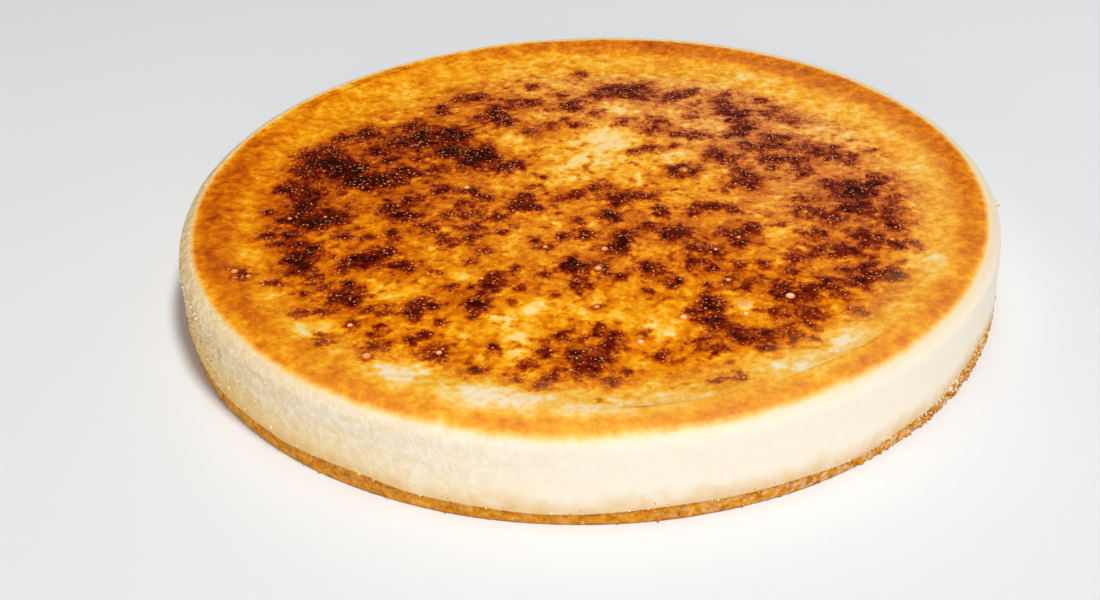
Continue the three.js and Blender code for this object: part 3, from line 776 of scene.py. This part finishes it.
# Crumb relief: share, size in millimetres and seed of each noise
CRUMB_NOISES = [(0.8, 1.6, 4), (0.6, 0.8, 5)]
FOOT_RING = 3.0
TOUCH = 0.1
# How loose the crumb is round the cake
CRUMBLY_SHARE = [1.0, 0.5, 0.5, 0.5, 0.3, 0.1, 0.12, 0.8]


def biscuit_profile():
    side = CAKE_RADIUS - BASE_INSET
    seam_start = CAKE_RADIUS - LAYER_WAVE_DEPTH
    foot = side - BASE_FOOT_BEVEL
    profile = [(0, 0), (foot - FOOT_RING, 0), (foot, 0)]
    profile += [(side, z) for z in spread(BISCUIT_RINGS, 0, BASE_THICKNESS)]
    profile += [(r, BASE_THICKNESS) for r in spread(SEAM_RINGS, side, seam_start)]
    profile.append((0, BASE_THICKNESS))
    return profile


crumb = new_material("pressed_biscuit_crumb")
biscuit = to_object(spin_profile(biscuit_profile(), BISCUIT_STEPS), "biscuit_body",
                    crumb)
plain = coordinates(biscuit)
x, y, z = plain.T
radius = np.hypot(x, y)
angle = np.arctan2(y, x)
at_side = (radius > CAKE_RADIUS - BASE_INSET - TOUCH) & (z > TOUCH)
crumbly = around(CRUMBLY_SHARE, x, y)
rough_side = crumbly * sum(part * grain(plain, size, seed) for part, size, seed in CRUMB_NOISES)
new_radius = radius + np.where(at_side, CRUMB_RELIEF * rough_side, 0.0)
new_radius = new_radius + (radius / CAKE_RADIUS) ** 4 * wave_height(WALL_WAVES, angle)
new_z = z / BASE_THICKNESS * (seam_height(radius, angle) + LAYER_GAP)
set_coordinates(biscuit, from_polar(new_radius, angle, new_z) * MM)
set_attribute(biscuit, "crumbly", crumbly)
biscuit.data.set_sharp_from_angle(angle=SHARP_ANGLE)
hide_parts("biscuit_base")
print("biscuit base:", len(biscuit.data.polygons), "faces")

# %% Material of the biscuit
# Crushed wheat biscuit with butter: matt and golden, with crumbs from 0.5 to 2 mm across.
# Where it broke up, on the right, pale crumbs show between the brown ones.
CRUMB_COLOURS = [(0.16, "#a8620a"), (0.32, "#cc7f0e"), (0.46, "#dd931c"), (0.64, "#ebb450")]
crumb_place = add(crumb, "TexCoord").outputs["Object"]
crumbly_at = add(crumb, "Attribute", attribute_name="crumbly").outputs["Fac"]
coarse = add(crumb, "TexNoise", {
    "Vector": crumb_place, "Scale": per_metre(2.4), "Detail": 3.0, "Roughness": 0.65})
crumb_cells = add(crumb, "TexVoronoi", {"Vector": crumb_place, "Scale": per_metre(1.0)})
mixed = add(crumb, "Math", {0: crumb_cells.outputs["Distance"], 1: -0.22, 2: coarse},
            operation="MULTIPLY_ADD")
crumb_colour = add(crumb, "ValToRGB", {"Fac": mixed}, stops=CRUMB_COLOURS)
crumb_chance = add(crumb, "SeparateColor", {"Color": crumb_cells.outputs["Color"]})
whitish = add(crumb, "MapRange", {
    "Value": crumb_chance.outputs["Red"], "From Min": 0.42, "From Max": 0.72, "To Max": 0.75})
whitish = add(crumb, "Math", {0: whitish, 1: crumbly_at}, operation="MULTIPLY")
crumb_colour = add(crumb, "Mix", {
    0: whitish, 6: crumb_colour, 7: linear("#f1dcb4")}, data_type="RGBA").outputs[2]
crumb_relief = add(crumb, "Bump", {"Strength": 0.45, "Distance": 0.0005, "Height": mixed})
add(crumb, "OutputMaterial", {0: add(crumb, "BsdfPrincipled", {
    "Base Color": crumb_colour, "Roughness": 0.85, "Normal": crumb_relief,
    "Specular IOR Level": 0.1})})


# %% [markdown]
# Bubbles and crumbs are small shapes that repeat hundreds of times. One is made, and an
# array modifier without an offset copies it. Its copies come one after the other in the
# mesh, so each can then be moved, sized and turned as one block of vertices.

# %% Helper for repeated small shapes
def repeat_shape(mesh, count, name, material):
    """A piece that holds count copies of the mesh, one after the other, all in one place."""
    piece = to_object(mesh, name, material)
    copies = piece.modifiers.new("copies", "ARRAY")
    copies.count = count
    copies.use_relative_offset = False
    finished = piece.evaluated_get(bpy.context.evaluated_depsgraph_get())
    piece.data = bpy.data.meshes.new_from_object(finished)
    piece.modifiers.clear()
    return piece


def skin_height(px, py):
    """Height of the finished skin at a few points."""
    places = np.column_stack([px, py, top_height(px, py)])
    return places[:, 2] + skin_relief(places, char_field(px, py))


# %% [markdown]
# Bubbles rose in the batter and set in the skin as tiny domes. Most are under a millimetre
# wide and sit where the skin charred, with a pale tip that is partly a painted highlight.
# Each is a squashed ball of a few dozen faces, half sunk in the skin. The large ones get
# more faces, and their places are read off the photograph.

# %% Bubbles
# Places tried for the small ones, and the chance that one sets on clear skin and on char
BUBBLE_TRIES = 26000
BUBBLE_REACH = 114.0
CLEAR_CHANCE = 0.03
CHAR_CHANCE = 0.6
SMALL_SIDES = 7
SMALL_BANDS = 4
# Lowest value, span and power of the random draw
SMALL_RADII = (0.18, 0.24, 2)
# Paleness of the small bubbles' tips, partly a painted highlight
SMALL_TIP_PALENESS_AND_GLINT = (0.15, 0.82)
SMALL_HEIGHT = 0.5
# How much less pale the tips are on the blackest char
BLACK_TIP_LOSS = 0.62
LARGE_SIDES = 16
LARGE_BANDS = 10
# Large bubbles: x, y, radius, how pale the tip is (partly its own skin, partly a painted highlight),
# and height as a share of the radius
LARGE = [
    (29.5, 9.5, 1.9, 0.45, 0.6), (52.3, -61.7, 1.4, 1.0, 0.6), (40, -65, 2.3, 0.55, 0.35),
    (40, -69.3, 0.9, 1.0, 0.6), (24, -69.7, 1.1, 1.0, 0.6), (12.5, -80, 1.1, 1.0, 0.6),
    (4.5, -34.7, 1.1, 0.8, 0.6), (2.5, -45.3, 1.2, 0.8, 0.6), (1.8, -64, 0.9, 0.7, 0.6),
    (-12, -32.7, 0.8, 0.8, 0.6), (-56, -84.5, 1.4, 0.7, 0.6), (-38, -83.3, 0.9, 0.9, 0.6),
    (-62, -70, 0.9, 0.9, 0.6), (-97, -43.5, 1.2, 0.7, 0.6), (-93, -45, 0.9, 0.7, 0.6),
    (-36, 3.5, 1.0, 0.9, 0.6), (-87, -12.5, 0.8, 0.7, 0.6), (-76.5, -12.7, 0.7, 0.6, 0.6),
    (42, -31, 0.8, 0.7, 0.6), (35, -37.7, 0.6, 0.9, 0.6), (37, -53, 0.8, 0.8, 0.6),
    (36.5, -101.5, 0.8, 0.5, 0.6), (-29, -48.5, 0.6, 0.8, 0.6), (84, -34, 0.8, 0.7, 0.6),
    (-101, 13, 0.7, 0.8, 0.6), (-45, 82, 1.0, 0.6, 0.6), (29.8, 8.6, 0.5, 1.0, 2.6),
]


def scattered(dice, count, low, span, power=1):
    """Random values from low to low + span. With a power above 1, most are near low."""
    return low + span * dice.random(count) ** power


def make_bubbles(name, places, sides, bands, material):
    """Squashed balls sunk in the skin, with an attribute that rises to the tip's paleness."""
    px, py, size, paleness, flat = np.array(places).T
    level = skin_height(px, py)
    mesh = bmesh.new()
    bmesh.ops.create_uvsphere(mesh, u_segments=sides, v_segments=bands, radius=1.0)
    each = len(mesh.verts)
    piece = repeat_shape(mesh, len(places), name, material)
    ball = coordinates(piece)
    points = ball * np.repeat(np.column_stack([size, size, size * flat]), each, axis=0)
    points += np.repeat(np.column_stack([px, py, level]), each, axis=0)
    set_coordinates(piece, points * MM)
    set_attribute(piece, "tip", np.clip(ball[:, 2], 0, 1) * np.repeat(paleness, each))
    x, y = points.T[:2]
    set_attribute(piece, "ground", ground_heat(x, y))
    set_attribute(piece, "char", char_field(x, y))
    print(name, len(places), "bubbles,", len(piece.data.polygons), "faces")


dice = np.random.default_rng(7)
reach = BUBBLE_REACH * np.sqrt(dice.random(BUBBLE_TRIES))
turn = 2 * math.pi * dice.random(BUBBLE_TRIES)
bx, by = reach * np.cos(turn), reach * np.sin(turn)
kept = dice.random(BUBBLE_TRIES) < CLEAR_CHANCE + CHAR_CHANCE * char_field(bx, by)
bx, by = bx[kept], by[kept]
sizes = scattered(dice, len(bx), *SMALL_RADII)
small_tip_glints = scattered(dice, len(bx), *SMALL_TIP_PALENESS_AND_GLINT) * (1 - BLACK_TIP_LOSS * black_share(bx, by))
small = np.column_stack([bx, by, sizes, small_tip_glints, np.full(len(bx), SMALL_HEIGHT)])

# %% Material of the bubbles
# Thin caramelised skin over air: dark at the foot, and pale at the tip, partly its own paler skin
# and partly a painted highlight
blister = new_material("blistered_cheese_skin")
tip_glint_at, ground_at, char_at = [
    add(blister, "Attribute", attribute_name=name).outputs["Fac"]
    for name in ("tip", "ground", "char")]
heat = add(blister, "Math", {0: char_at, 1: 0.34, 2: ground_at}, operation="MULTIPLY_ADD")
heat = add(blister, "Math", {0: heat, 1: 0.08}, operation="SUBTRACT")
bubble_colour = add(blister, "ValToRGB", {"Fac": heat}, stops=BROWNING)
# Pale tip colours: partly the skin's own, partly a painted highlight
tip_glint_share = add(blister, "MapRange", {
    "Value": tip_glint_at, "From Min": 0.15, "From Max": 0.6}, **SOFT)
cream_glint_share = add(blister, "MapRange", {"Value": tip_glint_at, "From Min": 0.6, "From Max": 0.95})
for share, code in ((tip_glint_share, "#f0964e"), (cream_glint_share, "#fed6a6")):
    bubble_colour = add(blister, "Mix", {
        0: share, 6: bubble_colour, 7: linear(code)}, data_type="RGBA").outputs[2]
add(blister, "OutputMaterial", {0: add(blister, "BsdfPrincipled", {
    "Base Color": bubble_colour, "Roughness": 0.4, "IOR": 1.45, "Specular IOR Level": 0.02})})
make_bubbles("large_bubbles", LARGE, LARGE_SIDES, LARGE_BANDS, blister)
make_bubbles("skin_bubbles", small, SMALL_SIDES, SMALL_BANDS, blister)

# %% [markdown]
# Crumbs cling to the foot, mostly on the right, where the biscuit broke. Small curds stand
# out of the side just above the seam, and on the left, where the tin tore it. They are
# jittered balls of a few dozen faces, each turned and sized by chance.

# %% Sizes of crumbs and curds
BISCUIT_CRUMBS = 700
SEAM_CRUMBS = 380
EDGE_FLECKS = 40
FOOT_FLECKS = 160
SEAM_CURDS = 340
TORN_CURDS = 800
# Where they gather: middle and spread of the angle round the cake, in radians
CRUMB_TURN = (-0.5, 0.24)
CRUMB_GATHERED = 0.7
EDGE_TURN = (0.04, 0.1)
FOOT_TURN = (-0.6, 0.14)
TORN_TURN = (-2.8, 0.22)
# Heights and sizes: lowest value, span and power of the random draw
CRUMB_HEIGHTS = (0.2, 4.4, 1.2)
CRUMB_SIZES = (0.12, 0.3, 2)
SEAM_CRUMB_SIZES = (0.1, 0.16)
EDGE_HEIGHTS = (3.0, 18.0)
FOOT_HEIGHTS = (1.2, 4.6)
FLECK_SIZES = (0.14, 0.26, 2)
TORN_HEIGHTS = (5.0, 17.0)
TORN_SIZES = (0.2, 0.3, 2)
# How far the middles of the lumps stand out from the side of the biscuit
STAND_OUT = 0.15
TORN_STAND_OUT = 0.35
LUMP_JITTER = 0.35
# Single curds that stand out of the side: angle, height and size
CURD_NIBS = [(-0.25, 3.2, 1.0), (-0.22, 4.4, 0.7), (-0.087, 22.6, 0.8), (-0.05, 21.2, 0.6),
             (-2.426, 6.5, 0.5), (-0.68, 4.4, 0.7), (-0.71, 3.7, 0.6), (-0.65, 4.9, 0.6)]


# %% Crumbs
def make_lumps(name, groups, out, material, seed):
    """Rough balls on the side. Each group holds the angles, heights and sizes of some."""
    angles, heights, sizes = np.hstack(groups)
    radius = CAKE_RADIUS - BASE_INSET + wave_height(WALL_WAVES, angles) + out
    mesh = bmesh.new()
    bmesh.ops.create_icosphere(mesh, subdivisions=1, radius=1.0)
    each = len(mesh.verts)
    count = len(sizes)
    piece = repeat_shape(mesh, count, name, material)
    ball = coordinates(piece)
    dice = np.random.default_rng(seed)
    ball *= 1 + LUMP_JITTER * dice.standard_normal(len(ball))[:, None].clip(-1, 1)
    stretch = 0.6 + 0.8 * dice.random((count, 3))
    ball *= np.repeat(stretch * sizes[:, None], each, axis=0)
    spin = 2 * math.pi * dice.random(count).repeat(each)
    turned = np.column_stack([ball[:, 0] * np.cos(spin) - ball[:, 1] * np.sin(spin),
                              ball[:, 0] * np.sin(spin) + ball[:, 1] * np.cos(spin), ball[:, 2]])
    points = turned + np.repeat(from_polar(radius, angles, heights), each, axis=0)
    points[:, 2] = np.maximum(points[:, 2], 0.0)
    set_coordinates(piece, points * MM)
    print(name, count, "lumps,", len(piece.data.polygons), "faces")


dice = np.random.default_rng(11)
gathered = dice.random(BISCUIT_CRUMBS) < CRUMB_GATHERED
angles = np.where(gathered, dice.normal(*CRUMB_TURN, BISCUIT_CRUMBS),
                  2 * math.pi * dice.random(BISCUIT_CRUMBS))
heights = scattered(dice, BISCUIT_CRUMBS, *CRUMB_HEIGHTS)
foot_group = (angles, heights, scattered(dice, BISCUIT_CRUMBS, *CRUMB_SIZES))
# Finer ones cling to the cheese just above the seam
angles = 2 * math.pi * dice.random(SEAM_CRUMBS)
heights = seam_height(CAKE_RADIUS, angles) + np.abs(dice.normal(0.0, 1.0, SEAM_CRUMBS))
seam_group = (angles, heights, scattered(dice, SEAM_CRUMBS, *SEAM_CRUMB_SIZES))
make_lumps("biscuit_crumbs", [foot_group, seam_group], STAND_OUT, crumb, 12)

# %% Curds
# Wet, crumbly bits of the custard: off-white, with a small moist shine
curd_white = new_material("fresh_curd")
curd_place = add(curd_white, "TexCoord").outputs["Object"]
curd_shade = add(curd_white, "TexNoise", {
    "Vector": curd_place, "Scale": per_metre(1.5), "Detail": 2.0})
curd_colour = add(curd_white, "ValToRGB", {"Fac": curd_shade}, stops=[
    (0.35, "#e2c48c"), (0.6, "#f4e5c4")])
add(curd_white, "OutputMaterial", {0: add(curd_white, "BsdfPrincipled", {
    "Base Color": curd_colour, "Roughness": 0.32, "Specular IOR Level": 0.4})})
angles = np.hstack([dice.normal(*EDGE_TURN, EDGE_FLECKS), dice.normal(*FOOT_TURN, FOOT_FLECKS)])
heights = np.hstack([scattered(dice, EDGE_FLECKS, *EDGE_HEIGHTS),
                     scattered(dice, FOOT_FLECKS, *FOOT_HEIGHTS)])
flecks = (angles, heights, scattered(dice, EDGE_FLECKS + FOOT_FLECKS, *FLECK_SIZES))
# The seam is ragged: curds hang over it all round
angles = 2 * math.pi * dice.random(SEAM_CURDS)
heights = seam_height(CAKE_RADIUS, angles) + dice.normal(0.35, 0.35, SEAM_CURDS)
seam_group = (angles, heights.clip(0.3), scattered(dice, SEAM_CURDS, *CRUMB_SIZES))
make_lumps("curd_flecks", [flecks, seam_group, np.array(CURD_NIBS).T], STAND_OUT, curd_white,
           13)
# On the left the tin tore off the smooth face, and small wet curds stand bare
angles = dice.normal(*TORN_TURN, TORN_CURDS)
heights = scattered(dice, TORN_CURDS, *TORN_HEIGHTS)
torn_group = (angles, heights, scattered(dice, TORN_CURDS, *TORN_SIZES))
taper = TORN_STAND_OUT - WALL_TAPER * heights / CAKE_HEIGHT
make_lumps("torn_curds", [torn_group], taper, curd_white, 14)

# %% [markdown]
# The floor is plain and pale. The key light stands to the right in front and high, as the
# short shadow on the left tells. A broad lamp from above and a low one in front lift the
# shades, a warm one from the left rakes over the torn side, and a faint cool one behind
# rims the far edge.

# %% Floor and light
FLOOR_SIZE = 6.0
floor_mesh = bmesh.new()
bmesh.ops.create_grid(floor_mesh, x_segments=1, y_segments=1, size=FLOOR_SIZE / 2)
floor_data = bpy.data.meshes.new("floor")
floor_mesh.to_mesh(floor_data)
floor_mesh.free()
floor = put_in_scene("floor", floor_data)
floor_paint = new_material("pale_matt_table")
add(floor_paint, "OutputMaterial", {0: add(floor_paint, "BsdfPrincipled", {
    "Base Color": linear("#e3e6e9"), "Roughness": 0.7, "Specular IOR Level": 0.2})})
floor_data.materials.append(floor_paint)

# Square lamps that look at the cake: azimuth and elevation in degrees, distance and size in
# metres, power in watts and colour
LAMPS = {
    "key": (-50, 66, 3.0, 0.5, 74.5, (1.0, 0.98, 0.96)),
    "top_fill": (-90, 80, 2.0, 1.6, 5.5, (1.0, 1.0, 1.0)),
    "front_fill": (-86, 14, 1.8, 0.9, 7.2, (1.0, 0.98, 0.97)),
    "left_fill": (-156, 12, 1.8, 0.9, 7.2, (1.0, 0.94, 0.76)),
    "back_glow": (74, 20, 2.2, 1.1, 0.8, (0.86, 0.93, 1.0)),
}
for name, (azimuth, elevation, distance, size, power, colour) in LAMPS.items():
    data = bpy.data.lights.new(name, "AREA")
    data.size = size
    data.energy = power
    data.color = colour
    lamp = put_in_scene(name, data)
    turn, rise = math.radians(azimuth), math.radians(elevation)
    flat = distance * math.cos(rise)
    lamp.location = (flat * math.cos(turn), flat * math.sin(turn), distance * math.sin(rise))
    lamp.rotation_euler = lamp.location.to_track_quat("Z", "Y").to_euler()

# %% Sky and rendering
SKY = (0.88, 0.94, 1.0, 1.0)
SKY_STRENGTH = 0.07
world = bpy.data.worlds.new("studio")
world.use_nodes = True
background = world.node_tree.nodes["Background"]
background.inputs["Color"].default_value = SKY
background.inputs["Strength"].default_value = SKY_STRENGTH
scene.world = world
scene.view_settings.view_transform = "Standard"
